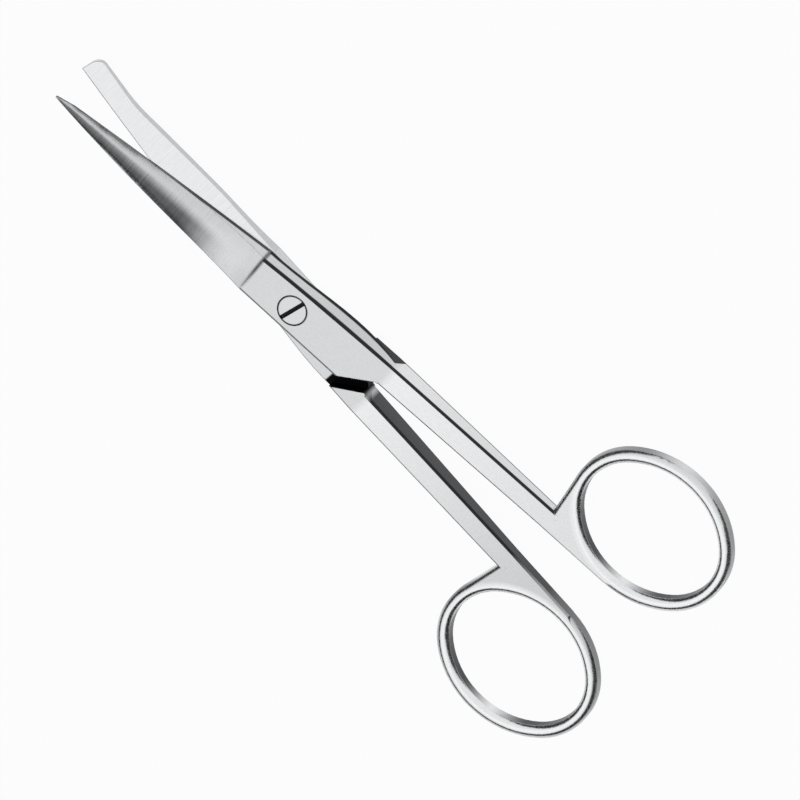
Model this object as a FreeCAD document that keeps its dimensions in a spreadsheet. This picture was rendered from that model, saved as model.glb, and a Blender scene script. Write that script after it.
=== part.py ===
# Dissecting scissors with one sharp and one blunt blade, joined by a slotted pivot screw.
#
# Each half is one forging: blade, joint plate, shank and finger ring. Both halves are modelled
# in the same local frame, closed, with the pivot axis on Z, the blade along +X, the cutting edge
# on the -Y side and the mating inner face at Z = 0. The sharp half lies with its outer face up.
# The blunt half is turned over about X and lies below it. Lengths are millimetres.
import FreeCAD, Part
import os

import Sketcher

SIZES = {
    # Joint: the thickness over both plates, and the play between their inner faces
    "joint_thick": 5.0,
    "running_gap": 0.05,
    # Joint plate, along X from the pivot and across it
    "step_reach": 9.7,
    "step_drop": 0.4,
    "waist_reach": -2.0,
    "root_reach": -19.8,
    "heel_reach": -13.2,
    "edge_at_step": -4.9,
    "edge_at_waist": -5.5,
    "edge_at_heel": -5.75,
    "edge_at_root": -4.75,
    "spine_at_step": 3.8,
    "spine_at_heel": 4.15,
    "bevel_at_step": 1.0,
    "bevel_at_waist": 1.1,
    "bevel_at_heel": 1.1,
    "root_crown": 0.02,
    # Closing stop: the block that the other half's shoulder comes up against
    "stop_reach": -14.3,
    "stop_root_reach": -19.3,
    "shank_gap": 0.5,
    # Shank, tapering in width and thickness from the joint to the ring
    "edge_break": 0.35,
    "corner_setback": 1.05,
    "edge_at_corner": -3.95,
    "web_thick": 2.8,
    "fade_reach": 6.0,
    "fade_depth": 2.0,
    # Finger ring, an oval of domed wire section. The rings touch just before the blades lie
    # parallel, so the side by the other ring reaches past the middle.
    "ring_lap": 0.3,
    "ring_reach": -73.1,
    "ring_half_length": 14.95,
    "ring_half_width": 12.87,
    "ring_end_radius": 11.3,
    "ring_section_width": 2.4,
    "ring_section_height": 2.9,
    "ring_section_crown": 0.55,
    "ring_turn": -4.0,
    "neck_inset": 0.02,
    # Both blades, from the pivot to the tip
    "blade_length": 56.7,
    # Sharp blade
    "sharp_tip_edge": -0.1,
    "sharp_tip_spine": 0.5,
    "sharp_point_setback": 3.5,
    "sharp_point_edge": -0.5,
    "sharp_point_width": 0.15,
    "sharp_edge_bow": 0.25,
    "sharp_spine_bow": 0.75,
    # Blunt blade
    "blunt_tip_edge": -0.74,
    "blunt_tip_spine": 3.3,
    "blunt_edge_bow": 0.25,
    "blunt_spine_bow": 0.6,
    "blunt_trim_reach": 24.0,
    "blunt_trim_spine": 3.75,
    "blunt_trim_round": 60.0,
    "blunt_neck_setback": 11.2,
    "blunt_neck_spine": 2.1,
    "blunt_neck_round": 22.0,
    "blunt_bulb_setback": 1.6,
    "blunt_bulb_spine": 3.35,
    "blunt_bulb_round": 1.3,
    "blunt_end_drop": 1.25,
    "blunt_end_round": 1.9,
    "blunt_end_slant": 0.5,
    # Pivot screw
    "head_diameter": 5.6,
    "head_height": 1.1,
    "head_play": 0.06,
    "head_lift": 0.05,
    "shaft_diameter": 3.2,
    "shaft_play": 0.04,
    "thread_diameter": 2.6,
    "thread_play": 0.01,
    "head_chamfer": 0.15,
    "end_chamfer": 0.3,
    "slot_width": 0.75,
    "slot_depth": 0.6,
    "slot_turn": 77.0,
    # Angle between the halves as the scissors lie, half of it taken by each half
    "rest_opening": 8.0,
}

# Blade sections on the way to the tip. Share is a section's place along the blade. Back is the
# height of the spine wall, bevel that of the cutting bevel, depth the bevel's reach across the
# blade, and crown the rise of the domed outer face between the two.
BLADE_SECTIONS = {
    "sharp": {
        "runout": {"share": 0.16, "back": 1.5, "bevel": 1.1, "depth": 0.55, "crown": 0.35},
        "belly": {"share": 0.45, "back": 0.95, "bevel": 0.35, "depth": 0.25, "crown": 0.85},
        "point": {"share": 0.8, "back": 0.75, "bevel": 0.25, "depth": 0.18, "crown": 0.5},
        "tip": {"share": 1.0, "back": 0.55, "bevel": 0.2, "depth": 0.1, "crown": 0.03},
    },
    "blunt": {
        "runout": {"share": 0.16, "back": 1.5, "bevel": 1.1, "depth": 0.55, "crown": 0.35},
        "belly": {"share": 0.45, "back": 1.0, "bevel": 0.55, "depth": 0.35, "crown": 0.8},
        "point": {"share": 0.8, "back": 0.9, "bevel": 0.5, "depth": 0.3, "crown": 0.55},
        "tip": {"share": 1.0, "back": 0.8, "bevel": 0.5, "depth": 0.3, "crown": 0.4},
    },
}
for blade, sections in BLADE_SECTIONS.items():
    for section, measures in sections.items():
        for measure, size in measures.items():
            SIZES[f"{blade}_{section}_{measure}"] = size

doc = FreeCAD.newDocument("DissectingScissors")
sheet = doc.addObject("Spreadsheet::Sheet", "dim")
for row, (alias, size) in enumerate(SIZES.items(), start=1):
    sheet.set(f"A{row}", alias.replace("_", " "))
    sheet.set(f"B{row}", str(size))
    sheet.setAlias(f"B{row}", alias)
doc.recompute()


def value(expression):
    """Number that an expression on the sheet stands for."""
    return float(sheet.evalExpression(expression))


def origin_plane(body, role):
    """One of the body's own origin planes, by its role."""
    return next(item for item in body.Origin.OriginFeatures if item.Role == role)


def new_sketch(body, name, role, lift="0"):
    """Sketch on one of the body's origin planes, moved along that plane's normal."""
    sketch = body.newObject("Sketcher::SketchObject", name)
    sketch.AttachmentSupport = [(origin_plane(body, role), "")]
    sketch.MapMode = "FlatFace"
    sketch.setExpression("AttachmentOffset.Base.z", lift)
    return sketch


def bind(sketch, constraint, name, expression):
    """Add a constraint whose size follows an expression on the sheet."""
    index = sketch.addConstraint(constraint)
    sketch.renameConstraint(index, name)
    sketch.setExpression(f"Constraints.{name}", expression)


def bind_point(sketch, name, geometry, vertex, place):
    """Hold a vertex at a place given by two expressions."""
    for axis, expression in zip("XY", place):
        held = Sketcher.Constraint(f"Distance{axis}", -1, 1, geometry, vertex, value(expression))
        bind(sketch, held, f"{name}{axis}", expression)


def draw_polygon(sketch, corners):
    """Closed outline through named corners: (name, x, y), or with a rounding as a fourth."""
    points = [FreeCAD.Vector(value(corner[1]), value(corner[2]), 0) for corner in corners]
    count = len(corners)
    for index, start in enumerate(points):
        sketch.addGeometry(Part.LineSegment(start, points[(index + 1) % count]), False)
    for index, corner in enumerate(corners):
        sketch.addConstraint(Sketcher.Constraint("Coincident", index, 2, (index + 1) % count, 1))
        bind_point(sketch, corner[0], index, 1, corner[1:3])
    for index, corner in enumerate(corners):
        if len(corner) == 4:
            sketch.fillet(index, 1, value(corner[3]), True, True)
            rounding = Sketcher.Constraint("Radius", sketch.GeometryCount - 2, value(corner[3]))
            bind(sketch, rounding, f"{corner[0]}Round", corner[3])


def draw_domed(sketch, corners):
    """Closed outline, drawn anticlockwise: (name, x, y), or with a rise as a fourth, which makes
    the side that leaves the corner an arc."""
    points = [FreeCAD.Vector(value(corner[1]), value(corner[2]), 0) for corner in corners]
    count = len(corners)
    for index, corner in enumerate(corners):
        start, end = points[index], points[(index + 1) % count]
        if len(corner) == 3:
            sketch.addGeometry(Part.LineSegment(start, end), False)
        else:
            outwards = (end - start).cross(FreeCAD.Vector(0, 0, 1)).normalize()
            crown = (start + end) / 2 + outwards * value(corner[3])
            sketch.addGeometry(Part.Arc(start, crown, end), False)
    for index, corner in enumerate(corners):
        sketch.addConstraint(Sketcher.Constraint("Coincident", index, 2, (index + 1) % count, 1))
        bind_point(sketch, corner[0], index, 1, corner[1:3])
    for index, corner in enumerate(corners):
        if len(corner) == 4:
            following = corners[(index + 1) % count]
            across = f"(({following[1]}) - ({corner[1]}))"
            upwards = f"(({following[2]}) - ({corner[2]}))"
            radius = f"(({across} ^ 2 + {upwards} ^ 2) / 4 + {corner[3]} ^ 2) / (2 * {corner[3]})"
            bind(sketch, Sketcher.Constraint("Radius", index, value(radius)),
                 f"{corner[0]}Crown", radius)


def draw_circle(sketch, name, radius):
    """Circle about the sketch's origin."""
    sketch.addGeometry(Part.Circle(FreeCAD.Vector(), FreeCAD.Vector(0, 0, 1), value(radius)), False)
    sketch.addConstraint(Sketcher.Constraint("Coincident", 0, 3, -1, 1))
    bind(sketch, Sketcher.Constraint("Radius", 0, value(radius)), f"{name}Radius", radius)


def pad(body, name, sketch, length, symmetric=False):
    """Pad upwards from the sketch, or to both sides of it."""
    feature = body.newObject("PartDesign::Pad", name)
    feature.Profile = sketch
    feature.setExpression("Length", length)
    feature.SideType = "Symmetric" if symmetric else "One side"
    return feature


def pocket(body, name, sketch, length, symmetric=False, upwards=False):
    """Pocket downwards from the sketch, upwards, or to both sides of it."""
    feature = body.newObject("PartDesign::Pocket", name)
    feature.Profile = sketch
    feature.setExpression("Length", length)
    feature.SideType = "Symmetric" if symmetric else "One side"
    feature.Reversed = upwards
    return feature


def loft(body, name, sections, ruled=False):
    """Additive loft through section sketches."""
    feature = body.newObject("PartDesign::AdditiveLoft", name)
    feature.Profile = sections[0]
    feature.Sections = sections[1:]
    feature.Ruled = ruled
    return feature


PLATE_TOP = "dim.joint_thick / 2"
ROOT_HEIGHT = "(dim.joint_thick / 2 - dim.step_drop)"
INNER_FACE = "dim.running_gap / 2"
SHANK_INNER = "-dim.shank_gap / 2"
RING_MIDDLE = "(dim.ring_lap - dim.ring_half_width - dim.ring_section_width / 2)"

# The ring's oval has two end arcs and two flatter side arcs, all tangent. Shifts are the distances
# of their centres from the oval's own centre.
END_SHIFT = "(dim.ring_half_length - dim.ring_end_radius)"
SIDE_RADIUS = (f"(({END_SHIFT} ^ 2 + dim.ring_half_width ^ 2 - dim.ring_end_radius ^ 2)"
               " / (2 * (dim.ring_half_width - dim.ring_end_radius)))")
SIDE_SHIFT = f"(dim.ring_half_width - {SIDE_RADIUS})"
END_HALF_ANGLE = f"(atan(-{SIDE_SHIFT} / {END_SHIFT}) / 1 deg)"

# The neck is a straight run of the ring's wire. It leaves the front end arc on a tangent, so that
# its outer side meets the corner between ring and shank.
CORNER_REACH = ("(dim.ring_reach + dim.ring_half_length + dim.ring_section_width / 2"
                " - dim.corner_setback)")
FRONT_X = f"(dim.ring_reach + {END_SHIFT} * cos(dim.ring_turn * 1 deg))"
FRONT_Y = f"({RING_MIDDLE} + {END_SHIFT} * sin(dim.ring_turn * 1 deg))"
OUTER_RADIUS = "(dim.ring_end_radius + dim.ring_section_width / 2)"
CORNER_RISE = f"(dim.edge_at_corner - {FRONT_Y})"
CORNER_RUN = f"({CORNER_REACH} - {FRONT_X})"
CORNER_DISTANCE = f"sqrt({CORNER_RUN} ^ 2 + {CORNER_RISE} ^ 2)"
NECK_BEARING = (f"((atan2({CORNER_RISE}; {CORNER_RUN})"
                f" - acos({OUTER_RADIUS} / {CORNER_DISTANCE})) / 1 deg)")
NECK_LENGTH = f"sqrt({CORNER_DISTANCE} ^ 2 - {OUTER_RADIUS} ^ 2)"


def long_edges(feature):
    """Names of the edges that run along the shank, above and below its sides."""
    names = []
    for number, edge in enumerate(feature.Shape.Edges, start=1):
        lengthwise = edge.BoundBox.XLength > 2 * edge.BoundBox.YLength
        middle = edge.CenterOfMass
        outside = abs(middle.z) > value("dim.web_thick") / 4
        if lengthwise and outside and middle.y > value(RING_MIDDLE) / 2:
            names.append(f"Edge{number}")
    return names


def add_shank(body):
    """Full-thickness shank with broken edges, and the flat web that joins it to the finger ring.
    Its inner side runs into the ring on a tangent, and then fades under the wire's crown."""
    plan = new_sketch(body, "ShankPlan", "XY_Plane")
    draw_polygon(plan, [
        ("Root", "dim.root_reach", "dim.edge_at_root"),
        ("RootInner", "dim.root_reach", SHANK_INNER),
        ("RingInner", "dim.ring_reach", "dim.ring_lap - dim.neck_inset"),
        ("Fade", "dim.ring_reach - dim.fade_reach", "dim.ring_lap - dim.fade_depth"),
        ("RingMiddle", "dim.ring_reach - dim.fade_reach", RING_MIDDLE),
        ("NeckFoot", f"{FRONT_X} + dim.ring_end_radius * cos({NECK_BEARING} * 1 deg)",
         f"{FRONT_Y} + dim.ring_end_radius * sin({NECK_BEARING} * 1 deg)"),
        ("Corner", f"{CORNER_REACH} - dim.ring_section_width / 2", "dim.edge_at_corner"),
    ])
    pad(body, "Shank", plan, "dim.joint_thick", symmetric=True)
    ring_front = "dim.ring_reach + dim.ring_half_length"
    ring_back = "dim.ring_reach - dim.ring_half_length"
    for side, sign in (("Upper", ""), ("Lower", "-")):
        taper = new_sketch(body, f"{side}Taper", "XZ_Plane")
        draw_polygon(taper, [
            ("Start", "dim.root_reach", f"{sign}dim.joint_thick / 2"),
            ("Web", ring_front, f"{sign}dim.web_thick / 2"),
            ("End", ring_back, f"{sign}dim.web_thick / 2"),
            ("EndOut", ring_back, f"{sign}dim.joint_thick"),
            ("StartOut", "dim.root_reach", f"{sign}dim.joint_thick"),
        ])
        cut = pocket(body, f"{side}TaperCut", taper, "4 * dim.ring_half_width", symmetric=True)
    doc.recompute()
    broken = body.newObject("PartDesign::Chamfer", "BrokenEdges")
    broken.Base = (cut, long_edges(cut))
    broken.setExpression("Size", "dim.edge_break")


def add_stop(body):
    """Block under the shank's front end, which the other half's shoulder comes up against. Its
    lower outer edge is broken like the shank's."""
    plan = new_sketch(body, "StopPlan", "XY_Plane", "-dim.joint_thick / 2")
    draw_polygon(plan, [
        ("Front", "dim.stop_reach", "dim.edge_at_root"),
        ("FrontInner", "dim.stop_root_reach", SHANK_INNER),
        ("BackInner", "dim.root_reach", SHANK_INNER),
        ("Back", "dim.root_reach", "dim.edge_at_root"),
    ])
    pad(body, "Stop", plan, "(dim.joint_thick + dim.running_gap) / 2")
    corner = new_sketch(body, "StopCorner", "YZ_Plane", "dim.stop_reach")
    draw_polygon(corner, [
        ("Outside", "dim.edge_at_root - dim.edge_break", "-dim.joint_thick / 2 - dim.edge_break"),
        ("Below", "dim.edge_at_root + 2 * dim.edge_break", "-dim.joint_thick / 2 - dim.edge_break"),
        ("Beside", "dim.edge_at_root - dim.edge_break", "-dim.joint_thick / 2 + 2 * dim.edge_break"),
    ])
    pocket(body, "StopBrokenEdge", corner, "dim.stop_reach - dim.root_reach")


def add_plate(body):
    """Joint plate, cut back to the slanting shoulder. The bevel on its edge side runs out between
    the heel and the root, and the edge above it is broken like the shank's."""
    sections = []
    for name, reach, edge, bevel, spine in (
        ("Step", "dim.step_reach", "dim.edge_at_step", "dim.bevel_at_step", "dim.spine_at_step"),
        ("Waist", "dim.waist_reach", "dim.edge_at_waist", "dim.bevel_at_waist",
         "(dim.spine_at_step + dim.spine_at_heel) / 2"),
        ("Heel", "dim.stop_reach", "dim.edge_at_heel", "dim.bevel_at_heel", "dim.spine_at_heel"),
        ("Root", "dim.root_reach", "dim.edge_at_root", "0", "dim.spine_at_heel"),
    ):
        section = new_sketch(body, f"Plate{name}", "YZ_Plane", reach)
        draw_polygon(section, [
            ("Edge", edge, INNER_FACE),
            ("Spine", spine, INNER_FACE),
            ("SpineTop", spine, PLATE_TOP),
            ("EdgeTop", f"{edge} + {bevel} + dim.edge_break", PLATE_TOP),
            ("EdgeBreak", f"{edge} + {bevel}", f"{PLATE_TOP} - dim.edge_break"),
        ])
        sections.append(section)
    loft(body, "Plate", sections)
    shoulder = new_sketch(body, "ShoulderPlan", "XY_Plane", INNER_FACE)
    draw_polygon(shoulder, [
        ("Heel", "dim.heel_reach", "dim.spine_at_heel"),
        ("Root", "dim.stop_root_reach", SHANK_INNER),
        ("Back", "dim.root_reach - dim.shank_gap", SHANK_INNER),
        ("BackOut", "dim.root_reach - dim.shank_gap", "2 * dim.spine_at_heel"),
        ("HeelOut", "dim.heel_reach", "2 * dim.spine_at_heel"),
    ])
    pocket(body, "Shoulder", shoulder, "dim.joint_thick", upwards=True)


def draw_blade_section(section, edge, spine, back, bevel, depth, crown):
    """Blade section: flat inner face, spine wall, domed outer face and cutting bevel."""
    draw_domed(section, [
        ("Edge", edge, INNER_FACE),
        ("Spine", spine, INNER_FACE),
        ("Back", spine, back, crown),
        ("Bevel", f"({edge} + {depth})", bevel),
    ])


def add_blade(body, blade):
    """Blade lofted from the step in the plate, which fades towards the spine, to its tip."""
    root_depth = (f"(dim.bevel_at_step * ({ROOT_HEIGHT} - {INNER_FACE})"
                  f" / ({PLATE_TOP} - dim.edge_break - {INNER_FACE}))")
    root = new_sketch(body, "BladeRoot", "YZ_Plane", "dim.step_reach")
    draw_blade_section(root, "dim.edge_at_step", "dim.spine_at_step",
                       PLATE_TOP, ROOT_HEIGHT, root_depth, "dim.root_crown")
    sections = [root]
    for name in BLADE_SECTIONS[blade]:
        share = f"dim.{blade}_{name}_share"
        bow = f"4 * {share} * (1 - {share})"
        reach = f"dim.step_reach + {share} * (dim.blade_length - dim.step_reach)"
        edge = (f"(dim.edge_at_step + {share} * (dim.{blade}_tip_edge - dim.edge_at_step)"
                f" - {bow} * dim.{blade}_edge_bow)")
        spine = (f"(dim.spine_at_step + {share} * (dim.{blade}_tip_spine - dim.spine_at_step)"
                 f" + {bow} * dim.{blade}_spine_bow)")
        section = new_sketch(body, f"Blade{name.title()}", "YZ_Plane", reach)
        draw_blade_section(section, edge, spine, *(
            f"dim.{blade}_{name}_{measure}" for measure in ("back", "bevel", "depth", "crown")))
        sections.append(section)
    loft(body, "Blade", sections)


def turned_sketch(body, name, role, base, turn, axis):
    """Sketch with its origin moved within the model and turned about the Z direction."""
    sketch = new_sketch(body, name, role)
    rotation = FreeCAD.Rotation(axis, 90)
    sketch.AttachmentOffset = FreeCAD.Placement(FreeCAD.Vector(), rotation)
    for direction, expression in zip("xyz", base):
        sketch.setExpression(f"AttachmentOffset.Base.{direction}", expression)
    sketch.setExpression("AttachmentOffset.Rotation.Angle", turn)
    return sketch


def draw_wire_section(sketch, radius, inset="0"):
    """Section of the ring's wire at a distance from the sketch's origin: upright sides, domed above
    and below. An inset makes it thinner all round."""
    inner = f"{radius} - dim.ring_section_width / 2 + {inset}"
    outer = f"{radius} + dim.ring_section_width / 2 - {inset}"
    shoulder = f"(dim.ring_section_height / 2 - dim.ring_section_crown - {inset})"
    draw_domed(sketch, [
        ("OuterLow", outer, f"-{shoulder}"),
        ("OuterHigh", outer, shoulder, "dim.ring_section_crown"),
        ("InnerHigh", inner, shoulder),
        ("InnerLow", inner, f"-{shoulder}", "dim.ring_section_crown"),
    ])


def add_ring(body):
    """Finger ring: a four-arc oval of wire over a hole cut in the shank's web, and its neck."""
    hole = turned_sketch(body, "RingHole", "XY_Plane", ("dim.ring_reach", RING_MIDDLE, "0"),
                         "dim.ring_turn", FreeCAD.Vector(0, 0, 1))
    half_length, half_width = value("dim.ring_half_length"), value("dim.ring_half_width")
    hole.addGeometry(Part.Ellipse(FreeCAD.Vector(), half_length, half_width), False)
    hole.exposeInternalGeometry(0)
    hole.addConstraint(Sketcher.Constraint("Coincident", 0, 3, -1, 1))
    hole.addConstraint(Sketcher.Constraint("Horizontal", 1))
    for name, axis, half in (("Length", 1, "dim.ring_half_length"),
                             ("Width", 2, "dim.ring_half_width")):
        bind(hole, Sketcher.Constraint("Distance", axis, value(f"2 * {half}")), name, f"2 * {half}")
    pocket(body, "FingerHole", hole, "2 * dim.joint_thick", symmetric=True)

    arcs = (
        ("Front", END_SHIFT, "0", "dim.ring_end_radius", END_HALF_ANGLE),
        ("Outer", SIDE_SHIFT, "90", SIDE_RADIUS, f"90 - {END_HALF_ANGLE}"),
        ("Back", END_SHIFT, "180", "dim.ring_end_radius", END_HALF_ANGLE),
        ("Inner", SIDE_SHIFT, "270", SIDE_RADIUS, f"90 - {END_HALF_ANGLE}"),
    )
    for name, shift, bearing, radius, half_angle in arcs:
        turn = f"dim.ring_turn + {bearing}"
        base = (f"dim.ring_reach + {shift} * cos(({turn}) * 1 deg)", "0",
                f"-({RING_MIDDLE} + {shift} * sin(({turn}) * 1 deg))")
        section = turned_sketch(body, f"Ring{name}Section", "XZ_Plane", base, turn,
                                FreeCAD.Vector(0, 1, 0))
        draw_wire_section(section, radius)
        arc = body.newObject("PartDesign::Revolution", f"Ring{name}")
        arc.Profile = section
        arc.ReferenceAxis = (section, ["V_Axis"])
        arc.Midplane = True
        arc.setExpression("Angle", f"2 * ({half_angle})")
    section = turned_sketch(body, "NeckSection", "XZ_Plane", (FRONT_X, "0", f"-{FRONT_Y}"),
                            NECK_BEARING, FreeCAD.Vector(0, 1, 0))
    draw_wire_section(section, "dim.ring_end_radius", "dim.neck_inset")
    neck = pad(body, "Neck", section, f"{NECK_LENGTH} + dim.ring_section_width / 2")
    neck.Reversed = True


def trim_sharp_tip(body):
    """Grind the cutting-edge corner off the end of the blade, which leaves a point."""
    plan = new_sketch(body, "PointPlan", "XY_Plane")
    start = "dim.blade_length - dim.sharp_point_setback"
    beyond = "dim.blade_length + dim.joint_thick"
    draw_polygon(plan, [
        ("Start", start, "dim.sharp_point_edge"),
        ("Tip", "dim.blade_length", "dim.sharp_tip_spine - dim.sharp_point_width"),
        ("TipOut", beyond, "dim.sharp_tip_spine - dim.sharp_point_width"),
        ("TipCorner", beyond, "dim.edge_at_step"),
        ("StartOut", start, "dim.edge_at_step"),
    ])
    pocket(body, "PointCut", plan, "2 * dim.joint_thick", symmetric=True)


def trim_blunt_tip(body):
    """Trim the spine to its narrow neck, the bulb behind the tip and the rounded end."""
    plan = new_sketch(body, "BulbPlan", "XY_Plane")
    end = "dim.blade_length - dim.blunt_end_slant"
    beyond = "dim.blade_length + dim.joint_thick"
    draw_polygon(plan, [
        ("Start", "dim.step_reach", "dim.spine_at_step"),
        ("Trim", "dim.blunt_trim_reach", "dim.blunt_trim_spine", "dim.blunt_trim_round"),
        ("Neck", "dim.blade_length - dim.blunt_neck_setback", "dim.blunt_neck_spine",
         "dim.blunt_neck_round"),
        ("Bulb", "dim.blade_length - dim.blunt_bulb_setback", "dim.blunt_bulb_spine",
         "dim.blunt_bulb_round"),
        ("End", end, "dim.blunt_bulb_spine - dim.blunt_end_drop", "dim.blunt_end_round"),
        ("Tip", "dim.blade_length", "dim.blunt_tip_edge - dim.running_gap"),
        ("TipOut", beyond, "dim.blunt_tip_edge - dim.running_gap"),
        ("Outside", beyond, "2 * dim.spine_at_heel"),
        ("StartOut", "dim.step_reach", "2 * dim.spine_at_heel"),
    ])
    pocket(body, "BulbCut", plan, "2 * dim.joint_thick", symmetric=True)


def drill(body, name, radius, lift, length):
    """Round hole on the pivot axis, cut down from a height above the inner face."""
    circle = new_sketch(body, f"{name}Circle", "XY_Plane", lift)
    draw_circle(circle, name, radius)
    pocket(body, name, circle, length)


def add_screw(body):
    """Slotted screw: flush head, plain shaft in the sharp half, thread in the blunt half."""
    profile = new_sketch(body, "ScrewProfile", "XZ_Plane")
    head = "dim.head_diameter / 2"
    shaft = "dim.shaft_diameter / 2"
    thread = "dim.thread_diameter / 2"
    under_head = f"{PLATE_TOP} - dim.head_height"
    end = f"-{PLATE_TOP}"
    draw_polygon(profile, [
        ("Top", "0", PLATE_TOP),
        ("Rim", f"{head} - dim.head_chamfer", PLATE_TOP),
        ("RimSide", head, f"{PLATE_TOP} - dim.head_chamfer"),
        ("HeadFoot", head, under_head),
        ("ShaftTop", shaft, under_head),
        ("ShaftFoot", shaft, f"-{INNER_FACE}"),
        ("ThreadTop", thread, f"-{INNER_FACE}"),
        ("ThreadFoot", thread, f"{end} + dim.end_chamfer"),
        ("EndRim", f"{thread} - dim.end_chamfer", end),
        ("End", "0", end),
    ])
    turned = body.newObject("PartDesign::Revolution", "Turned")
    turned.Profile = profile
    turned.ReferenceAxis = (profile, ["V_Axis"])
    turned.Angle = 360
    slot = new_sketch(body, "SlotPlan", "XY_Plane", PLATE_TOP)
    turn = FreeCAD.Rotation(FreeCAD.Vector(0, 0, 1), value("dim.slot_turn"))
    slot.AttachmentOffset = FreeCAD.Placement(slot.AttachmentOffset.Base, turn)
    slot.setExpression("AttachmentOffset.Rotation.Angle", "dim.slot_turn")
    draw_polygon(slot, [
        ("LowLeft", "-dim.head_diameter", "-dim.slot_width / 2"),
        ("LowRight", "dim.head_diameter", "-dim.slot_width / 2"),
        ("HighRight", "dim.head_diameter", "dim.slot_width / 2"),
        ("HighLeft", "-dim.head_diameter", "dim.slot_width / 2"),
    ])
    pocket(body, "Slot", slot, "dim.slot_depth")


def new_body(label):
    """Empty body for one piece."""
    body = doc.addObject("PartDesign::Body", label)
    body.Label = label
    return body


sharp_half = new_body("sharp_half")
add_shank(sharp_half)
add_stop(sharp_half)
add_plate(sharp_half)
add_blade(sharp_half, "sharp")
add_ring(sharp_half)
trim_sharp_tip(sharp_half)
drill(sharp_half, "HeadSeat", "dim.head_diameter / 2 + dim.head_play", PLATE_TOP,
      "dim.head_height + dim.head_lift")
drill(sharp_half, "ShaftHole", "dim.shaft_diameter / 2 + dim.shaft_play", PLATE_TOP,
      "dim.joint_thick")

blunt_half = new_body("blunt_half")
add_shank(blunt_half)
add_stop(blunt_half)
add_plate(blunt_half)
add_blade(blunt_half, "blunt")
add_ring(blunt_half)
trim_blunt_tip(blunt_half)
drill(blunt_half, "ThreadHole", "dim.thread_diameter / 2 + dim.thread_play", PLATE_TOP,
      "dim.joint_thick")

pivot_screw = new_body("pivot_screw")
add_screw(pivot_screw)
doc.recompute()

lift = "vector(0; 0; dim.joint_thick / 2)"
turned = "rotation(dim.rest_opening / 2; 0; 0)"
turned_over = "rotation(-dim.rest_opening / 2; 0; 180)"
sharp_half.setExpression("Placement", f"placement({lift}; {turned})")
blunt_half.setExpression("Placement", f"placement({lift}; {turned_over})")
pivot_screw.setExpression("Placement", f"placement({lift}; rotation(0; 0; 0))")
doc.recompute()

sub_parts = (sharp_half, blunt_half, pivot_screw)
failed = [item.Label for item in doc.Objects if {"Invalid", "Error"} & set(item.State)]
if failed:
    raise RuntimeError(f"failed objects: {failed}")
for body in sub_parts:
    if body.Shape.isNull() or not body.Shape.isValid() or len(body.Shape.Solids) != 1:
        raise RuntimeError(f"{body.Label} is not one valid solid")

os.makedirs("parts", exist_ok=True)
for body in sub_parts:
    body.Shape.exportStep(f"parts/{body.Label}.step")
    print(f"{body.Label}: {body.Shape.Volume:.1f} mm3, {len(body.Shape.Faces)} faces")
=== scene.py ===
# %% [markdown]
# Dissecting scissors, dressed for a studio picture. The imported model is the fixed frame: two
# forged steel halves and the screw that they turn on. This lesson leaves their shapes alone and
# works on how ground, satin and polished steel catches the light.

# %% Load the frame
import math

import bpy
from mathutils import Matrix, Vector

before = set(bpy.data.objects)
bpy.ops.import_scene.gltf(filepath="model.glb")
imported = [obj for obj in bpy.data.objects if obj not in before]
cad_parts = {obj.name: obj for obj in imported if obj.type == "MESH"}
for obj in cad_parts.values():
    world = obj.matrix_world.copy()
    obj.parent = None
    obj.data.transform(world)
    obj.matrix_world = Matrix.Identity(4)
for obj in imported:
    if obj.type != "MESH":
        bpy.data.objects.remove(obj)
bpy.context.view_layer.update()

MM = 0.001

# %% [markdown]
# Steel is a node material, and node materials are long. Two helpers keep them readable: one turns
# a colour as a picture editor gives it into the linear light that a shader works in, and one adds a
# node, sets it up and links it in a single call.

# %% Helpers for colours and nodes
def linear(hex_colour):
    """Linear colour, with alpha, for an sRGB hex value such as "#C8C9CB"."""
    parts = [int(hex_colour[i:i + 2], 16) / 255 for i in (1, 3, 5)]
    curve = [p / 12.92 if p <= 0.04045 else ((p + 0.055) / 1.055) ** 2.4 for p in parts]
    return (*curve, 1.0)


def add_node(tree, kind, settings=None, **inputs):
    """Add a node. settings are its properties; inputs are values or sockets, by name."""
    node = tree.nodes.new(kind)
    for name, setting in (settings or {}).items():
        setattr(node, name, setting)
    for name, given in inputs.items():
        plain = name.replace("_", " ")
        socket = next(s for s in node.inputs
                      if s.enabled and (s.identifier == name or s.name == plain))
        if isinstance(given, bpy.types.NodeSocket):
            tree.links.new(given, socket)
        else:
            socket.default_value = given
    return node


print("a mid grey of #808080 is", round(linear("#808080")[0], 3), "in linear light")

# %% [markdown]
# The picture looks down from 60 degrees over the table, from the side of the pointed half's ring,
# and is turned so that the scissors lie from corner to corner. A long lens far away keeps the two
# rings the same size, as a catalogue picture does.

# %% Camera at the photograph's angle
TILT = math.radians(30)
AIM = Vector((-24.65, -2.68, 5.0)) * MM
FIELD = 141.3 * MM
DISTANCE = 1.5
SENSOR = 36

back = Vector((0, -math.sin(TILT), math.cos(TILT)))
across = Vector((0, math.cos(TILT), math.sin(TILT)))
along = Vector((1, 0, 0))
right = (-along - across).normalized()
up = (along - across).normalized()

camera_data = bpy.data.cameras.new("camera")
camera_data.sensor_width = SENSOR
camera_data.lens = SENSOR * DISTANCE / FIELD
camera = bpy.data.objects.new("camera", camera_data)
bpy.context.scene.collection.objects.link(camera)
turn = Matrix((right, up, back)).transposed()
camera.matrix_world = Matrix.LocRotScale(AIM + back * DISTANCE, turn, None)
bpy.context.scene.camera = camera
print("lens in mm:", round(camera_data.lens, 1))

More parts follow.
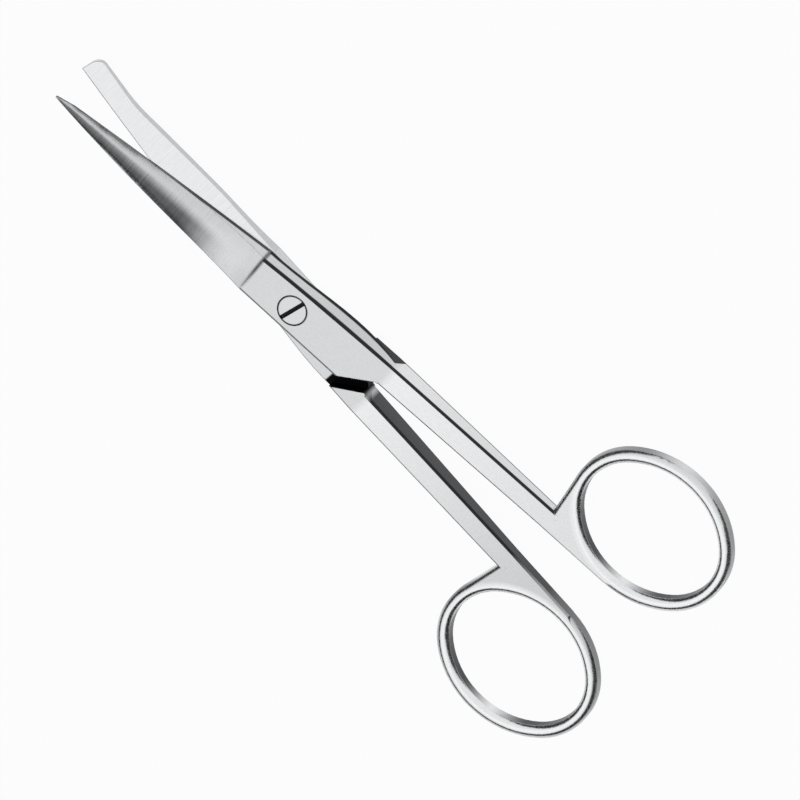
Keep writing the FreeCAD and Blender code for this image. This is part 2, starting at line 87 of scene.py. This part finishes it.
# %% [markdown]
# Bright metal has no colour of its own to speak of: it shows the room. So the room is planned. Its
# table is a white card. Lamps strong enough to make paper pure white could clip the steel too, so
# the card glows by itself wherever the camera or the steel looks at it. To all other light it is
# plain paper, and keeps a faint shadow.

# %% White card
CARD_SIZE = 4
CARD_GLOW = 0.95

bpy.ops.object.select_all(action="DESELECT")
bpy.ops.mesh.primitive_plane_add(size=CARD_SIZE)
card = bpy.context.active_object
card.name = "white_card"
paper = bpy.data.materials.new("white_card_paper")
paper.use_nodes = True
tree = paper.node_tree
tree.nodes.clear()
path = add_node(tree, "ShaderNodeLightPath")
seen = path.outputs["Is Camera Ray"]
for ray in ("Is Glossy Ray", "Is Transmission Ray"):
    seen = add_node(tree, "ShaderNodeMath", {"operation": "MAXIMUM"},
                    Value=seen, Value_001=path.outputs[ray]).outputs[0]
share = add_node(tree, "ShaderNodeMath", {"operation": "MULTIPLY"},
                 Value=seen, Value_001=CARD_GLOW)
diffuse = add_node(tree, "ShaderNodeBsdfDiffuse", Color=linear("#F2F2F2"))
glow = add_node(tree, "ShaderNodeEmission", Color=(1, 1, 1, 1), Strength=1.0)
mixed = add_node(tree, "ShaderNodeMixShader", Fac=share.outputs[0])
tree.links.new(diffuse.outputs[0], mixed.inputs[1])
tree.links.new(glow.outputs[0], mixed.inputs[2])
add_node(tree, "ShaderNodeOutputMaterial", Surface=mixed.outputs[0])
card.data.materials.append(paper)
print("card across, in m:", CARD_SIZE)

# %% [markdown]
# Black flags stand round the object, where only sloping and rounded edges look, and draw them as
# dark lines. They come closer at the two ends, so that the slopes of the rings that face along the
# scissors get the widest streaks. They hang a little above the table, so that upright walls still
# look out at white, and leave a gap on the camera's side, where the bevels look. Separate cards
# would do, but one open oval band, laid out point by point, gives lines without breaks.

# %% Black flags
FLAG_BOTTOM = 0.08
FLAG_TOP = 0.36
FLAG_DISTANCE = 0.8
FLAG_DISTANCE_AT_ENDS = 0.24
FLAG_MIDDLE = -0.1
FLAG_GAP = math.radians(60)
FLAG_STEPS = 96

vertices = []
for step in range(FLAG_STEPS + 1):
    angle = FLAG_GAP - math.pi / 2 + 2 * (math.pi - FLAG_GAP) * step / FLAG_STEPS
    x = AIM.x + FLAG_DISTANCE_AT_ENDS * math.cos(angle)
    y = FLAG_MIDDLE + FLAG_DISTANCE * math.sin(angle)
    vertices += [(x, y, FLAG_BOTTOM), (x, y, FLAG_TOP)]
faces = [(i, i + 2, i + 3, i + 1) for i in range(0, 2 * FLAG_STEPS, 2)]
band = bpy.data.meshes.new("black_flags")
band.from_pydata(vertices, [], faces)
flags = bpy.data.objects.new("black_flags", band)
bpy.context.scene.collection.objects.link(flags)

velvet = bpy.data.materials.new("black_velvet")
velvet.use_nodes = True
shader = velvet.node_tree.nodes["Principled BSDF"]
shader.inputs["Base Color"].default_value = linear("#2A2A2C")
shader.inputs["Roughness"].default_value = 1.0
band.materials.append(velvet)
flags.visible_camera = False
print("top of the flags, in degrees, at the sides and the ends:",
      round(math.degrees(math.atan(FLAG_TOP / FLAG_DISTANCE))),
      round(math.degrees(math.atan(FLAG_TOP / FLAG_DISTANCE_AT_ENDS))))

# %% [markdown]
# A big white sky gives the broad pale faces. A softbox hangs where the flat faces mirror the
# camera, and adds a little light from above, too little to clip them to white.

# %% Sky and softbox
SKY_STRENGTH = 0.95
SOFTBOX_SIZE = 0.9
SOFTBOX_DISTANCE = 1.2
SOFTBOX_WATTS = 0.4

world = bpy.data.worlds.new("studio")
world.use_nodes = True
sky = world.node_tree.nodes["Background"]
sky.inputs["Color"].default_value = (1, 1, 1, 1)
sky.inputs["Strength"].default_value = SKY_STRENGTH
bpy.context.scene.world = world
bpy.context.scene.view_settings.view_transform = "Standard"

softbox_data = bpy.data.lights.new("softbox", "AREA")
softbox_data.size = SOFTBOX_SIZE
softbox_data.energy = SOFTBOX_WATTS
softbox = bpy.data.objects.new("softbox", softbox_data)
bpy.context.scene.collection.objects.link(softbox)
mirror_way = Vector((0, math.sin(TILT), math.cos(TILT)))
softbox.location = mirror_way * SOFTBOX_DISTANCE
softbox.rotation_euler = (-mirror_way).to_track_quat("-Z", "Y").to_euler()
print("softbox at, in m:", [round(v, 2) for v in softbox.location])

# %% [markdown]
# Each half is one forging of stainless steel, but a grinder, a belt and a buffing wheel have each
# left their own finish on it. Separate materials could only change at the edges of faces, so each
# half gets one material whose masks say where each finish lies. They are drawn in the half's own
# frame, closed and lying on its inner face: X runs from the pivot to the tip, Y across from the
# cutting edge to the spine, and Z away from the other half. A Mapping node of the texture kind
# undoes the half's turn and gives that frame in millimetres, so both halves share all numbers.

# %% Frame and zones of a half
JOINT_MIDDLE = 2.5 * MM
STEP_REACH = 9.7
ROOT_REACH = -19.8


def own_frame(tree, roll, yaw):
    """Vector, place and facing in a half's own frame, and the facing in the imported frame."""
    texture = add_node(tree, "ShaderNodeTexCoord")
    own = add_node(tree, "ShaderNodeMapping", {"vector_type": "TEXTURE"},
                   Vector=texture.outputs["Object"], Location=(0, 0, JOINT_MIDDLE),
                   Rotation=(roll, 0, yaw), Scale=(MM, MM, MM)).outputs[0]
    turned = add_node(tree, "ShaderNodeMapping", {"vector_type": "TEXTURE"},
                      Vector=texture.outputs["Normal"], Rotation=(roll, 0, yaw)).outputs[0]
    place = add_node(tree, "ShaderNodeSeparateXYZ", Vector=own).outputs
    facing = add_node(tree, "ShaderNodeSeparateXYZ", Vector=turned).outputs
    return own, place, facing, texture.outputs["Normal"]


def zones(tree, place, facing):
    """Masks that several finishes share: parts by their place, and ways that a face looks."""
    masks = {}
    for name, source, start, end in (
        ("blade", place["X"], STEP_REACH - 0.1, STEP_REACH + 0.1),
        ("shank", place["X"], ROOT_REACH, ROOT_REACH - 1.5),
        ("inwards", facing["Z"], -0.8, -0.95),
        ("outwards", facing["Z"], 0.2, 0.4),
        ("spinewards", facing["Y"], 0.6, 0.85),
    ):
        masks[name] = add_node(tree, "ShaderNodeMapRange", Value=source,
                               From_Min=start, From_Max=end).outputs[0]
    return masks


print("blade from", STEP_REACH, "mm, shank behind", ROOT_REACH, "mm")

# %% [markdown]
# The blade is ground across. Its inner face is bright. Its outer face is a dome, and on the half
# that falls to the spine it gets a painted dark reflection, with its marks painted darker too. The
# step before the joint gets a soft painted shade line at its foot, fading to the spine. The cutting
# edge is a narrow dark land. A layer is a colour, a roughness and masks, and shows where all of its
# masks hold. The colour is what the finish reflects of a white room, and the roughness how far it
# blurs it.

# %% Layers of the blade
REFLECTION_FROM = -1.7
REFLECTION_TO = 0.9
RUNOUT = 5
RUNOUT_END = 17
STEP_LINE = 0.28
EDGE_LAND = 0.5


def blade_layers(tree, place, facing, zone):
    """Ground finishes of the blade, by name."""
    masks = {}
    for name, source, start, end in (("dark reflection", place["Y"], REFLECTION_FROM, REFLECTION_TO),
                                     ("past runout", place["X"], STEP_REACH + RUNOUT,
                                      STEP_REACH + RUNOUT_END)):
        masks[name] = add_node(tree, "ShaderNodeMapRange", {"interpolation_type": "SMOOTHSTEP"},
                               Value=source, From_Min=start, From_Max=end).outputs[0]
    from_step = add_node(tree, "ShaderNodeMath", {"operation": "SUBTRACT"},
                         Value=place["X"], Value_001=STEP_REACH).outputs[0]
    off_step = add_node(tree, "ShaderNodeMath", {"operation": "ABSOLUTE"},
                        Value=from_step).outputs[0]
    for name, source, start, end in (
        ("at step", off_step, 2 * STEP_LINE, STEP_LINE / 2),
        ("off spine", place["Y"], 4.0, -1.0),
        ("shallow", facing["Z"], 0.9, 0.96),
        ("edgewards", facing["Y"], -0.6, -0.85),
        ("low", place["Z"], EDGE_LAND + 0.05, EDGE_LAND - 0.05),
    ):
        masks[name] = add_node(tree, "ShaderNodeMapRange", Value=source,
                               From_Min=start, From_Max=end).outputs[0]
    return {
        "blade": ("#DBDCDD", 0.27, [zone["blade"]]),
        # Painted dark reflection on the half of the dome that falls to the spine
        "spine side reflection": ("#6E6F72", 0.32, [masks["dark reflection"], masks["past runout"], masks["shallow"]]),
        "inner face": ("#E8E9EA", 0.22, [zone["inwards"], zone["blade"]]),
        "spine": ("#CFD0D2", 0.34, [zone["spinewards"], zone["blade"]]),
        "cutting edge": ("#5A5B5E", 0.3, [masks["edgewards"], masks["low"], zone["blade"]]),
        # Painted shade: a dark line at the foot of the step, fading to the spine
        "step": ("#7A7B7E", 0.34, [masks["at step"], masks["off spine"], zone["outwards"]]),
    }


print("dark flank fades in from", STEP_REACH + RUNOUT, "to", STEP_REACH + RUNOUT_END, "mm")

# %% [markdown]
# A shank's side that faces the other shank gets painted shade, dark and dull, which fades out
# before the ring. The broken edges of the sides get a painted dark reflection and shade too, and so
# do the strips beside them. They could be painted by facing alone, but the strips are flat like the
# rest of the side. So they are found by their height: a set distance from the top or bottom of a
# side that thins to the rear.

# %% Layers of the sides
WEB_REACH = -58.0
WEB_FADE = 8
RING_REACH = -73.1
PLATE_THICK = 2.5
SHANK_HALF_THICK = 2.5
WEB_HALF_THICK = 1.4
STRIP = 0.5
STRIP_FADE = 0.15
SHADE_FADE_BEFORE_RING = (-14, 6)


def strip_mask(tree, place, zone):
    """Mask of the strips along the top and bottom of a side."""
    middle = add_node(tree, "ShaderNodeMapRange", Value=zone["shank"],
                      To_Min=PLATE_THICK / 2, To_Max=0).outputs[0]
    taper = add_node(tree, "ShaderNodeMapRange", Value=place["X"],
                     From_Min=ROOT_REACH, From_Max=WEB_REACH,
                     To_Min=SHANK_HALF_THICK, To_Max=WEB_HALF_THICK).outputs[0]
    half_height = add_node(tree, "ShaderNodeMix", Factor=zone["shank"],
                           A=PLATE_THICK / 2, B=taper).outputs[0]
    from_middle = add_node(tree, "ShaderNodeMath", {"operation": "SUBTRACT"},
                           Value=place["Z"], Value_001=middle).outputs[0]
    height = add_node(tree, "ShaderNodeMath", {"operation": "ABSOLUTE"},
                      Value=from_middle).outputs[0]
    to_rim = add_node(tree, "ShaderNodeMath", {"operation": "SUBTRACT"},
                      Value=half_height, Value_001=height).outputs[0]
    return add_node(tree, "ShaderNodeMapRange", Value=to_rim,
                    From_Min=STRIP + STRIP_FADE, From_Max=STRIP).outputs[0]


def side_layers(tree, place, facing, zone):
    """Painted shade and dark reflection along the sides of plate and shank, by name."""
    masks = {}
    for name, source, start, end in (
        ("near middle", place["Y"], -6, -4),
        ("before ring", place["X"], RING_REACH + SHADE_FADE_BEFORE_RING[0], RING_REACH + SHADE_FADE_BEFORE_RING[1]),
        ("outer side", facing["Y"], -0.4, -0.6),
        ("inner side", facing["Y"], 0.4, 0.6),
        ("before web", place["X"], WEB_REACH - WEB_FADE, WEB_REACH),
    ):
        masks[name] = add_node(tree, "ShaderNodeMapRange", Value=source,
                               From_Min=start, From_Max=end).outputs[0]
    shank_side = add_node(tree, "ShaderNodeMath", {"operation": "MULTIPLY"},
                          Value=masks["inner side"], Value_001=zone["shank"]).outputs[0]
    on_side = add_node(tree, "ShaderNodeMath", {"operation": "MAXIMUM"},
                       Value=masks["outer side"], Value_001=shank_side).outputs[0]
    behind_step = add_node(tree, "ShaderNodeMath", {"operation": "SUBTRACT"},
                           Value=masks["before web"], Value_001=zone["blade"]).outputs[0]
    return {
        # Painted shade on the side that faces the other shank
        "inner wall shade": ("#505254", 0.42, [zone["spinewards"], masks["near middle"],
                                          masks["before ring"], zone["shank"]]),
        # Painted dark reflection and painted shade along the top and bottom of the sides
        "edge": ("#37383B", 0.4, [strip_mask(tree, place, zone), on_side, behind_step]),
    }


print("dark strips, in mm:", STRIP, "half height of the shank, in mm:", SHANK_HALF_THICK,
      "to", WEB_HALF_THICK)

# %% [markdown]
# The joint plate has a painted shade along the rim of its spine. Behind it, shoulder and stop face
# each other across a narrow slanting gap, which is painted near black as shade. Its floor is the
# other plate's inner face, and not the stop's own top, which is polished.

# %% Layers of the joint
HEEL_REACH = -13.0
SPINE_AT_STEP = 3.8
SPINE_AT_HEEL = 4.15
PLATE_EDGE = 0.25


def joint_layers(tree, place, facing, zone):
    """Painted shade round the joint plate, by name."""
    spine = add_node(tree, "ShaderNodeMapRange", Value=place["X"],
                     From_Min=STEP_REACH, From_Max=HEEL_REACH,
                     To_Min=SPINE_AT_STEP, To_Max=SPINE_AT_HEEL).outputs[0]
    short_of_spine = add_node(tree, "ShaderNodeMath", {"operation": "SUBTRACT"},
                              Value=spine, Value_001=place["Y"]).outputs[0]
    off_blade = add_node(tree, "ShaderNodeMath", {"operation": "SUBTRACT"},
                         Value=1.0, Value_001=zone["blade"]).outputs[0]
    masks = {}
    for name, source, start, end in (
        ("at spine", short_of_spine, PLATE_EDGE + 0.1, PLATE_EDGE),
        ("slanting", facing["Y"], 0.3, 0.5),
        ("at floor", place["Z"], -0.4, -0.2),
        ("behind heel", place["X"], HEEL_REACH, HEEL_REACH - 0.3),
        ("before root", place["X"], ROOT_REACH - 0.6, ROOT_REACH + 0.4),
    ):
        masks[name] = add_node(tree, "ShaderNodeMapRange", Value=source,
                               From_Min=start, From_Max=end).outputs[0]
    floor = add_node(tree, "ShaderNodeMath", {"operation": "MULTIPLY"},
                     Value=zone["inwards"], Value_001=masks["at floor"]).outputs[0]
    gap = add_node(tree, "ShaderNodeMath", {"operation": "MAXIMUM"},
                   Value=masks["slanting"], Value_001=floor).outputs[0]
    return {
        # Painted shade along the plate's rim at the spine
        "plate rim shade": ("#7E7F82", 0.34, [masks["at spine"], off_blade, zone["outwards"]]),
        # Painted shade in the slanting gap between shoulder and stop
        "joint gap shade": ("#141415", 0.6, [gap, masks["behind heel"], masks["before root"]]),
    }


print("plate from", STEP_REACH, "to", HEEL_REACH, "mm, gap behind it")

# %% [markdown]
# The finger ring is a domed wire. It is polished on top, out to an oval along its middle line, and
# brighter there than the shank. Its steep slopes, where they face two ways, get a painted dark
# reflection and are dull. An oval is a circle once its frame is squeezed, so a Mapping node and
# one length find it.

# %% Layers of the ring
RING_MIDDLE = -13.8
RING_TURN = math.radians(-4)
RING_HALF_LENGTH = 14.95
RING_HALF_WIDTH = 12.87
FLAT = 1000
DARK_REFLECTION_WAYS = ((0.95, -0.3, 0), (-0.75, -0.66, 0))
DARK_REFLECTION_FADE = (0.45, 0.85)

# Distances from the ring's middle, as shares of the oval along its middle line
TOP_FADE = (1.07, 0.99)
WIRE_FADE = (1.12, 1.06)


def ring_layers(tree, own, packed_facing):
    """Polished finish and painted dark reflection of the ring, by name, and the mask of its whole
    wire.
    """
    from_ring = add_node(tree, "ShaderNodeMapping", {"vector_type": "TEXTURE"}, Vector=own,
                         Location=(RING_REACH, RING_MIDDLE, 0), Rotation=(0, 0, RING_TURN),
                         Scale=(RING_HALF_LENGTH, RING_HALF_WIDTH, FLAT)).outputs[0]
    oval = add_node(tree, "ShaderNodeVectorMath", {"operation": "LENGTH"},
                    Vector=from_ring).outputs["Value"]
    on_top = add_node(tree, "ShaderNodeMapRange", Value=oval,
                      From_Min=TOP_FADE[0], From_Max=TOP_FADE[1]).outputs[0]
    on_wire = add_node(tree, "ShaderNodeMapRange", Value=oval,
                       From_Min=WIRE_FADE[0], From_Max=WIRE_FADE[1]).outputs[0]
    dark_reflection = 0.0
    for way in DARK_REFLECTION_WAYS:
        likeness = add_node(tree, "ShaderNodeVectorMath", {"operation": "DOT_PRODUCT"},
                            Vector=packed_facing, Vector_001=way).outputs["Value"]
        facing_way = add_node(tree, "ShaderNodeMapRange", {"interpolation_type": "SMOOTHSTEP"},
                              Value=likeness, From_Min=DARK_REFLECTION_FADE[0],
                              From_Max=DARK_REFLECTION_FADE[1]).outputs[0]
        dark_reflection = add_node(tree, "ShaderNodeMath", {"operation": "MAXIMUM"},
                          Value=facing_way, Value_001=dark_reflection).outputs[0]
    layers = {
        "ring": ("#F0F1F2", 0.2, [on_top]),
        # Painted dark reflection on the ring's slopes that face these ways
        "ring slope reflection": ("#46474A", 0.34, [dark_reflection, on_wire]),
    }
    return layers, on_wire


print("ring's middle line, in mm:", 2 * RING_HALF_LENGTH, "x", 2 * RING_HALF_WIDTH)

# %% [markdown]
# The tools' marks lie in each finish as noise. Grinding marks cross the blade, about 0.4 mm apart
# and several millimetres long. The belt leaves a short grain on joint and shank, and the buffing
# wheel broad soft waves. The half's own frame is in millimetres, so a scale is a count per
# millimetre, and noise that is stretched across the blade turns into marks.

# %% Marks of belt and wheel
MARKS_PER_MM = (2.6, 0.14, 0.14)
GRAIN_PER_MM = 2.2
WAVES_PER_MM = 0.22


def tool_marks(tree, own, on_blade):
    """Fine marks, ground on the blade and satin elsewhere, and the waves under them."""
    stretched = add_node(tree, "ShaderNodeMapping", Vector=own, Scale=MARKS_PER_MM).outputs[0]
    ground = add_node(tree, "ShaderNodeTexNoise", Vector=stretched,
                      Scale=1.0, Detail=4.0, Roughness=0.65).outputs["Fac"]
    satin = add_node(tree, "ShaderNodeTexNoise", Vector=own,
                     Scale=GRAIN_PER_MM, Detail=5.0, Roughness=0.7).outputs["Fac"]
    waves = add_node(tree, "ShaderNodeTexNoise", Vector=own,
                     Scale=WAVES_PER_MM, Detail=1.0, Roughness=0.4).outputs["Fac"]
    marks = add_node(tree, "ShaderNodeMix", Factor=on_blade, A=satin, B=ground).outputs[0]
    return marks, waves


print("marks apart and long, in mm:", round(1 / MARKS_PER_MM[0], 2), round(1 / MARKS_PER_MM[1], 1))

# %% [markdown]
# Under the layers lies the plain steel: satin on the joint plate, buffed on the shank, lightest
# beside the joint and darker towards the ring. The layers are then laid over it, one by one.

# %% Plain steel and its layers
PLATE = ("#D8D9DA", 0.28)
SHANK = ("#ECEDEE", 0.24)
DARKEST_BEFORE_RING = 10
LAYER_ORDER = ("ring", "blade", "spine side reflection", "inner face", "spine", "cutting edge", "step",
               "inner wall shade", "ring slope reflection", "edge", "plate rim shade", "joint gap shade")


def plain_steel(tree, place, on_shank, ring_colour):
    """Colour and roughness of plate and shank."""
    towards_ring = add_node(tree, "ShaderNodeMapRange", Value=place["X"],
                      From_Min=ROOT_REACH, From_Max=RING_REACH + DARKEST_BEFORE_RING).outputs[0]
    shank = add_node(tree, "ShaderNodeMix", {"data_type": "RGBA"}, Factor=towards_ring,
                     A=linear(SHANK[0]), B=linear(ring_colour)).outputs["Result"]
    colour = add_node(tree, "ShaderNodeMix", {"data_type": "RGBA"}, Factor=on_shank,
                      A=linear(PLATE[0]), B=shank).outputs["Result"]
    rough = add_node(tree, "ShaderNodeMix", Factor=on_shank, A=PLATE[1], B=SHANK[1]).outputs[0]
    return colour, rough


def lay_over(tree, colour, rough, layers):
    """Colour and roughness with the layers over them, and how far each layer shows."""
    shares = {}
    for name in LAYER_ORDER:
        layer_colour, layer_rough, masks = layers[name]
        share = 1.0
        for mask in masks:
            share = add_node(tree, "ShaderNodeMath", {"operation": "MULTIPLY"},
                             Value=share, Value_001=mask).outputs[0]
        colour = add_node(tree, "ShaderNodeMix", {"data_type": "RGBA"}, Factor=share,
                          A=colour, B=linear(layer_colour)).outputs["Result"]
        rough = add_node(tree, "ShaderNodeMix", Factor=share, A=rough, B=layer_rough).outputs[0]
        shares[name] = share
    return colour, rough, shares


print("layers over the plain steel:", len(LAYER_ORDER))

# %% [markdown]
# The marks darken the steel, most where the dark reflection is painted, and change its roughness a
# little.
# Ambient occlusion finds the narrow places and paints shade into them; the ring is left out.
# A wheel also wears each edge to a small round, which catches the flags. A Bevel node bends the
# light as if the edge were round, and leaves the mesh as it is.

# %% Worn surface and painted shade of the steel
CREVICE_SHADE = "#2B2B2D"
CREVICE_SHADE_REACH = 0.9 * MM
EDGE_WEAR = 0.22 * MM
MARK_TONE = 0.86
REFLECTION_MARK_TONE = 0.5
MARK_DEPTH = 0.02 * MM
MARK_BUMP = 0.35
WAVE_DEPTH = 0.15 * MM
WAVE_BUMP = 0.6
NOISE_LOW = 0.3
NOISE_HIGH = 0.7


def marked_colour(tree, colour, marks, reflection_share, on_wire):
    """Colour with the tools' marks, and with painted shade in narrow places."""
    # Marks are painted darker where the dark reflection lies
    darkest = add_node(tree, "ShaderNodeMix", Factor=reflection_share,
                       A=MARK_TONE, B=REFLECTION_MARK_TONE).outputs[0]
    tone = add_node(tree, "ShaderNodeMapRange", Value=marks, From_Min=NOISE_LOW,
                    From_Max=NOISE_HIGH, To_Min=darkest, To_Max=1.0).outputs[0]
    toned = add_node(tree, "ShaderNodeMix", {"data_type": "RGBA", "blend_type": "MULTIPLY"},
                     Factor=1.0, A=colour, B=tone).outputs["Result"]
    # Painted shade in narrow places, found by ambient occlusion
    open_air = add_node(tree, "ShaderNodeAmbientOcclusion", {"samples": 8},
                        Distance=CREVICE_SHADE_REACH).outputs["AO"]
    unshaded = add_node(tree, "ShaderNodeMapRange", Value=open_air,
                     From_Min=0.25, From_Max=0.6).outputs[0]
    unshaded_or_ring = add_node(tree, "ShaderNodeMath", {"operation": "MAXIMUM"},
                     Value=unshaded, Value_001=on_wire).outputs[0]
    return add_node(tree, "ShaderNodeMix", {"data_type": "RGBA"}, Factor=unshaded_or_ring,
                    A=linear(CREVICE_SHADE), B=toned).outputs["Result"]


def worn_normal(tree, marks, waves):
    """Normal with rounded edges, fine marks and broad waves."""
    worn = add_node(tree, "ShaderNodeBevel", {"samples": 8}, Radius=EDGE_WEAR).outputs[0]
    fine = add_node(tree, "ShaderNodeBump", Height=marks, Strength=MARK_BUMP,
                    Distance=MARK_DEPTH, Normal=worn).outputs[0]
    return add_node(tree, "ShaderNodeBump", Height=waves, Strength=WAVE_BUMP,
                    Distance=WAVE_DEPTH, Normal=fine).outputs[0]


print("worn edges, in mm:", round(EDGE_WEAR / MM, 2))

# %% [markdown]
# Now the whole material is put together, once for each half. The blunt half lies below and is
# turned over, and its shank grows a little darker towards the ring than the other's.

# %% Ground and buffed steel of the halves
REST_TURN = math.radians(4)
GLOSS_SPREAD = 0.06


def half_steel(name, roll, yaw, ring_colour):
    """Forged stainless steel, ground across the blade, satin on the joint, buffed elsewhere."""
    material = bpy.data.materials.new(name)
    material.use_nodes = True
    tree = material.node_tree
    own, place, facing, packed_facing = own_frame(tree, roll, yaw)
    zone = zones(tree, place, facing)
    layers, on_wire = ring_layers(tree, own, packed_facing)
    for make_layers in (blade_layers, side_layers, joint_layers):
        layers.update(make_layers(tree, place, facing, zone))
    marks, waves = tool_marks(tree, own, zone["blade"])
    colour, rough = plain_steel(tree, place, zone["shank"], ring_colour)
    colour, rough, shares = lay_over(tree, colour, rough, layers)
    finished = marked_colour(tree, colour, marks, shares["spine side reflection"], on_wire)
    spread = add_node(tree, "ShaderNodeMapRange", Value=marks, From_Min=NOISE_LOW,
                      From_Max=NOISE_HIGH, To_Min=-GLOSS_SPREAD, To_Max=GLOSS_SPREAD).outputs[0]
    gloss = add_node(tree, "ShaderNodeMath", {"operation": "ADD"},
                     Value=rough, Value_001=spread).outputs[0]
    shader = tree.nodes["Principled BSDF"]
    shader.inputs["Metallic"].default_value = 1.0
    tree.links.new(finished, shader.inputs["Base Color"])
    tree.links.new(gloss, shader.inputs["Roughness"])
    tree.links.new(worn_normal(tree, marks, waves), shader.inputs["Normal"])
    return material


for node, name, roll, yaw, ring_colour in (
    ("sharp_half", "ground_and_buffed_steel_sharp", 0, REST_TURN, "#DFE0E1"),
    ("blunt_half", "ground_and_buffed_steel_blunt", math.pi, -REST_TURN, "#CECFD0"),
):
    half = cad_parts[node]
    half.data.materials.clear()
    half.data.materials.append(half_steel(name, roll, yaw, ring_colour))
    print(node, "wears", half.data.materials[0].name)

# %% [markdown]
# The screw is turned from bar, so its head shows fine rings about the axis instead of straight
# marks. Rings come from noise that reads only the distance from the axis. Round the rim the head
# gets a painted dark shade.

# %% Turned steel of the screw
HEAD_TOP = 5.0
HEAD_RADIUS = 2.8
RIM = 0.3
SLOT_REACH = 2.5
RING_SPACING = 0.2

turned = bpy.data.materials.new("turned_steel")
turned.use_nodes = True
tree = turned.node_tree
texture = add_node(tree, "ShaderNodeTexCoord")
flat = add_node(tree, "ShaderNodeMapping", Vector=texture.outputs["Object"],
                Scale=(1 / MM, 1 / MM, 0)).outputs[0]
radius = add_node(tree, "ShaderNodeVectorMath", {"operation": "LENGTH"},
                  Vector=flat).outputs["Value"]
height = add_node(tree, "ShaderNodeSeparateXYZ", Vector=texture.outputs["Object"]).outputs["Z"]
rings = add_node(tree, "ShaderNodeTexNoise", {"noise_dimensions": "1D"}, W=radius,
                 Scale=1 / RING_SPACING, Detail=3.0, Roughness=0.6).outputs["Fac"]
tone = add_node(tree, "ShaderNodeMix", {"data_type": "RGBA"}, Factor=rings,
                A=linear("#C4C5C6"), B=linear("#E2E3E4")).outputs["Result"]
# Painted shade round the rim of the head
on_rim = add_node(tree, "ShaderNodeMapRange", Value=radius,
                  From_Min=HEAD_RADIUS - RIM, From_Max=HEAD_RADIUS - RIM / 2).outputs[0]
rimmed = add_node(tree, "ShaderNodeMix", {"data_type": "RGBA"}, Factor=on_rim,
                  A=tone, B=linear("#707173")).outputs["Result"]
print("screw head across, in mm:", 2 * HEAD_RADIUS)

# %% [markdown]
# The slot is milled, and its floor rises to the rim at both ends. It is painted near black as
# shade. It is found by height and by distance from the axis. The rings change the gloss a little.

# %% Slot and gloss of the screw
below_top = add_node(tree, "ShaderNodeMapRange", Value=height,
                     From_Min=(HEAD_TOP - 0.02) * MM, From_Max=(HEAD_TOP - 0.08) * MM).outputs[0]
inside = add_node(tree, "ShaderNodeMapRange", Value=radius,
                  From_Min=SLOT_REACH + 0.25, From_Max=SLOT_REACH).outputs[0]
in_slot = add_node(tree, "ShaderNodeMath", {"operation": "MULTIPLY"},
                   Value=below_top, Value_001=inside).outputs[0]
# Painted shade in the slot
finished = add_node(tree, "ShaderNodeMix", {"data_type": "RGBA"}, Factor=in_slot,
                    A=rimmed, B=linear("#1E1E20")).outputs["Result"]
gloss = add_node(tree, "ShaderNodeMapRange", Value=rings, From_Min=NOISE_LOW,
                 From_Max=NOISE_HIGH, To_Min=0.2, To_Max=0.32).outputs[0]
worn = add_node(tree, "ShaderNodeBevel", {"samples": 8}, Radius=EDGE_WEAR / 2).outputs[0]
bump = add_node(tree, "ShaderNodeBump", Height=rings, Strength=0.3, Distance=MARK_DEPTH,
                Normal=worn)
shader = tree.nodes["Principled BSDF"]
shader.inputs["Metallic"].default_value = 1.0
tree.links.new(finished, shader.inputs["Base Color"])
tree.links.new(gloss, shader.inputs["Roughness"])
tree.links.new(bump.outputs[0], shader.inputs["Normal"])
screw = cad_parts["pivot_screw"]
screw.data.materials.clear()
screw.data.materials.append(turned)
print("pivot_screw wears", turned.name)
